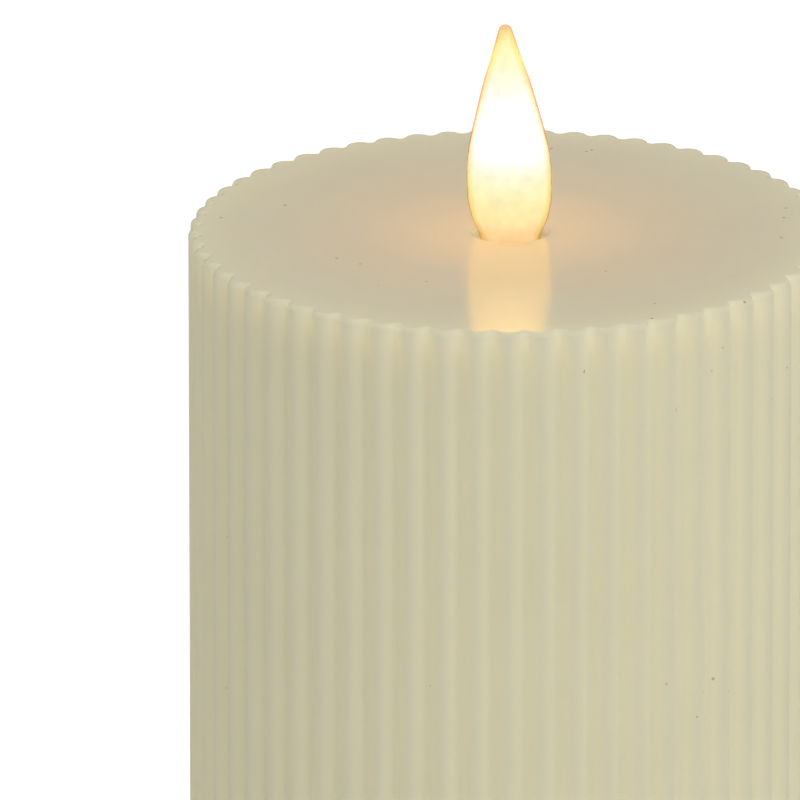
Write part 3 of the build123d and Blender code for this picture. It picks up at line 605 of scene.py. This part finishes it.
finishes = {
    "inner_liner": moulded("liner", IVORY_PLASTIC, 0.45),
    "flame_plunger": moulded("plunger", WHITE_PLASTIC, 0.36),
    "flame_guide": moulded("guide", WHITE_PLASTIC, 0.4),
    "led_stem": moulded("stem", WHITE_PLASTIC, 0.36),
    "battery_housing": moulded("base", IVORY_PLASTIC, 0.5, grain=1100.0, strength=0.35),
    "battery_door": moulded("door", IVORY_PLASTIC, 0.48, grain=1100.0, strength=0.3),
    "push_switch_body": moulded("push_switch", srgb(30, 30, 32), 0.4),
    "push_switch_button": moulded("push_button", WHITE_PLASTIC, 0.35),
    "controller_chip": moulded("chip", srgb(24, 24, 26), 0.55, grain=2400.0, strength=0.4),
    "slide_switch_body": moulded("slide_switch", srgb(28, 28, 30)),
    "slide_switch_knob": moulded("switch_knob", srgb(34, 34, 36), 0.45, grain=1500.0, strength=0.3),
    "jumper_lead": insulation("red_jumper", RED),
    "on_lead": insulation("red_wire", RED),
    "timer_lead": insulation("yellow_wire", srgb(222, 178, 30)),
    "negative_lead": insulation("black_wire", srgb(26, 26, 28)),
    "plunger_spring": metal("spring", srgb(196, 194, 188), 0.22),
    "guide_screws": metal("guide_screw", STEEL, 0.3),
    "board_screws": metal("board_screw", STEEL, 0.3),
    "base_screws": metal("base_screw", srgb(178, 178, 174), 0.32),
    "led_leads": metal("lamp_legs", TINNED, 0.25),
    "chip_legs": metal("chip_legs", TINNED, 0.25),
    "slide_switch_terminals": metal("terminals", TINNED),
    "bridge_contact": metal("bridge", CONTACT, 0.25, streak=DRAWN_UP),
    "positive_contact": metal("positive", CONTACT, 0.25, streak=DRAWN_UP),
    "negative_contact": metal("negative", CONTACT, 0.25, streak=DRAWN_UP),
    "bridge_spring": metal("bridge_spring", COIL, 0.22),
    "negative_spring": metal("negative_spring", COIL, 0.22),
    "rubber_feet": rubber_material(),
    "control_board": board_material(),
    "battery_cell_1": cell_material("battery_cell_1", positive_high=False),
    "battery_cell_2": cell_material("battery_cell_2", positive_high=True),
    "resistors": resistor_material(),
    "smoothing_capacitor": capacitor_material(),
    "led_lamp": lamp_material(),
}
for node_name, material in finishes.items():
    for material_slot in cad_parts[node_name].material_slots:
        material_slot.material = material

wax = new_piece("ribbed_wax", wax_mesh(), "candle")
wax.data.materials.append(wax_material())
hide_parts("wax_shell")

flame = new_piece("flame", flame_mesh(), "flame")
hidden = 1 - (1 - LAYER_SHARE) ** LAYERS  # how much of the core all the layers hide
core_tint = [(1 - hidden * t) / (1 - hidden) for t in LAYER_TINT]  # which makes up for the layers' tint
flame.data.materials.append(flame_skin())
flame.data.materials.append(flame_glow("flame_core", core_tint))
flame.data.materials.append(flame_glow("flame_layer", LAYER_TINT, LAYER_SHARE))
flame.visible_shadow = False
flame.visible_diffuse = False
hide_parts("flame_bulb")


# ---------------------------------------------------------------- floor, light, camera

SKY_LOW, SKY_HIGH = 0.19, 0.62  # the studio's light at the horizon and overhead
SKY_RIGHT = 0.05  # more of it from the right, and as much less from the left
LAMPS = (  # name, azimuth and elevation in degrees, distance and width in metres, power, whether it is mirrored
    ("key", 35, 22, 1.4, 1.8, 4.25, True),
    ("fill", -60, 12, 1.4, 1.6, 0.8, True),
    ("back", 200, 8, 1.4, 1.2, 4.0, False),
    ("under", 0, -90, 0.6, 0.25, 0.6, False),
)
LAMPS_AIM = Vector((0, 0, 0.09))  # metres
FLAME_LAMPS = (  # name, height above the wax, radius, power
    ("glow_low", 7.0, 3.0, 0.0006),
    ("glow_high", 24.0, 2.0, 0.0065),
)
AMBER = (1.0, 0.45, 0.05)
FLOOR_HALF = 30.0  # metres
FLOOR_GLOW = 0.07  # the light that the floor gives to what stands on it
FLOOR_WHITE = 0.7  # and to the camera, which sees it as white as the photograph's page


def floor():
    """A pale floor that is clear from below and never blocks a lamp."""
    mesh = bpy.data.meshes.new("floor")
    corners = [(-1, -1), (1, -1), (1, 1), (-1, 1)]
    mesh.from_pydata([(x * FLOOR_HALF, y * FLOOR_HALF, 0) for x, y in corners], [], [(0, 1, 2, 3)])
    obj = bpy.data.objects.new("floor", mesh)
    scene.collection.objects.link(obj)
    n = Nodes("floor")
    ray = n.add("ShaderNodeLightPath").outputs
    below = n.add("ShaderNodeNewGeometry").outputs["Backfacing"]
    n.show(n.blend(n.math("MAXIMUM", below, ray["Is Shadow Ray"]), n.shader.outputs[0], n.clear()))
    mesh.materials.append(n.finish(
        Base_Color=n.mix(n.noise(3.0), srgb(218, 218, 218), srgb(222, 222, 222)), Roughness=0.9,
        Specular_IOR_Level=0.1, Emission_Color=(1, 1, 1, 1),
        Emission_Strength=n.span(ray["Is Camera Ray"], 0, 1, FLOOR_GLOW, FLOOR_WHITE)))


def sky():
    """A soft studio sky, brighter overhead and on the right; the camera sees it white."""
    world = bpy.data.worlds.new("studio")
    scene.world = world
    world.use_nodes = True
    nodes, links = world.node_tree.nodes, world.node_tree.links
    toward = nodes.new("ShaderNodeSeparateXYZ")
    links.new(nodes.new("ShaderNodeTexCoord").outputs["Generated"], toward.inputs[0])
    overhead = nodes.new("ShaderNodeMapRange")
    links.new(toward.outputs["Z"], overhead.inputs["Value"])
    overhead.inputs["To Min"].default_value = SKY_LOW
    overhead.inputs["To Max"].default_value = SKY_HIGH
    strength = nodes.new("ShaderNodeMath")
    strength.operation = "MULTIPLY_ADD"
    links.new(toward.outputs["X"], strength.inputs[0])
    strength.inputs[1].default_value = SKY_RIGHT
    links.new(overhead.outputs["Result"], strength.inputs[2])
    seen = nodes.new("ShaderNodeMath")
    seen.operation = "MAXIMUM"
    links.new(strength.outputs[0], seen.inputs[0])
    links.new(nodes.new("ShaderNodeLightPath").outputs["Is Camera Ray"], seen.inputs[1])
    background = nodes["Background"]
    background.inputs["Color"].default_value = (1, 1, 1, 1)
    links.new(seen.outputs[0], background.inputs["Strength"])


def new_light(name, kind, power):
    light = bpy.data.lights.new(name, kind)
    light.energy = power
    obj = bpy.data.objects.new(name, light)
    scene.collection.objects.link(obj)
    return obj


def studio_lamp(name, azimuth, elevation, distance, width, power, mirrored):
    """A round soft lamp. Azimuth runs from the front to the right."""
    lamp = new_light(name, "AREA", power)
    lamp.data.shape = "DISK"
    lamp.data.size = width
    lamp.visible_glossy = mirrored
    a, e = math.radians(azimuth), math.radians(elevation)
    away = Vector((math.sin(a) * math.cos(e), -math.cos(a) * math.cos(e), math.sin(e)))
    lamp.location = LAMPS_AIM + away * distance
    lamp.rotation_euler = away.to_track_quat("Z", "Y").to_euler()


def flame_lamp(name, height, radius, power):
    """Amber light from inside the flame, which the wax scatters but doesn't mirror."""
    lamp = new_light(name, "POINT", power)
    lamp.data.color = AMBER
    lamp.data.shadow_soft_size = radius * MM
    lamp.visible_glossy = False
    lamp.location = Vector((-flame_lean(height), 0, TOP_Z + height)) * MM
    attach(lamp, "flame")


floor()
sky()
for lamp_settings in LAMPS:
    studio_lamp(*lamp_settings)
for lamp_settings in FLAME_LAMPS:
    flame_lamp(*lamp_settings)

FIELD = 0.1106  # how wide the picture is at the candle, in metres
LENS, SENSOR = 1040.0, 36.0
ELEVATION = math.radians(19.2)
AZIMUTH = math.radians(0.5)
ASIDE = 0.0152  # in metres, how far right of the middle of the picture the candle stands
BELOW = 0.0235  # and how far above the middle its top plane lies
CLIP_NEAR, CLIP_FAR = 0.1, 60  # metres

camera = bpy.data.objects.new("camera", bpy.data.cameras.new("camera"))
scene.collection.objects.link(camera)
scene.camera = camera
camera.data.lens = LENS
camera.data.sensor_width = SENSOR
camera.data.clip_start = CLIP_NEAR
camera.data.clip_end = CLIP_FAR
right = Vector((math.cos(AZIMUTH), math.sin(AZIMUTH), 0))
back = Vector((math.sin(AZIMUTH) * math.cos(ELEVATION), -math.cos(AZIMUTH) * math.cos(ELEVATION),
               math.sin(ELEVATION)))
up = back.cross(right)
aim = Vector((0, 0, TOP_Z * MM)) - right * ASIDE - up * BELOW
camera.location = aim + back * (FIELD * LENS / SENSOR)
camera.rotation_euler = back.to_track_quat("Z", "Y").to_euler()

scene.view_settings.view_transform = "Standard"
scene.view_settings.look = "None"
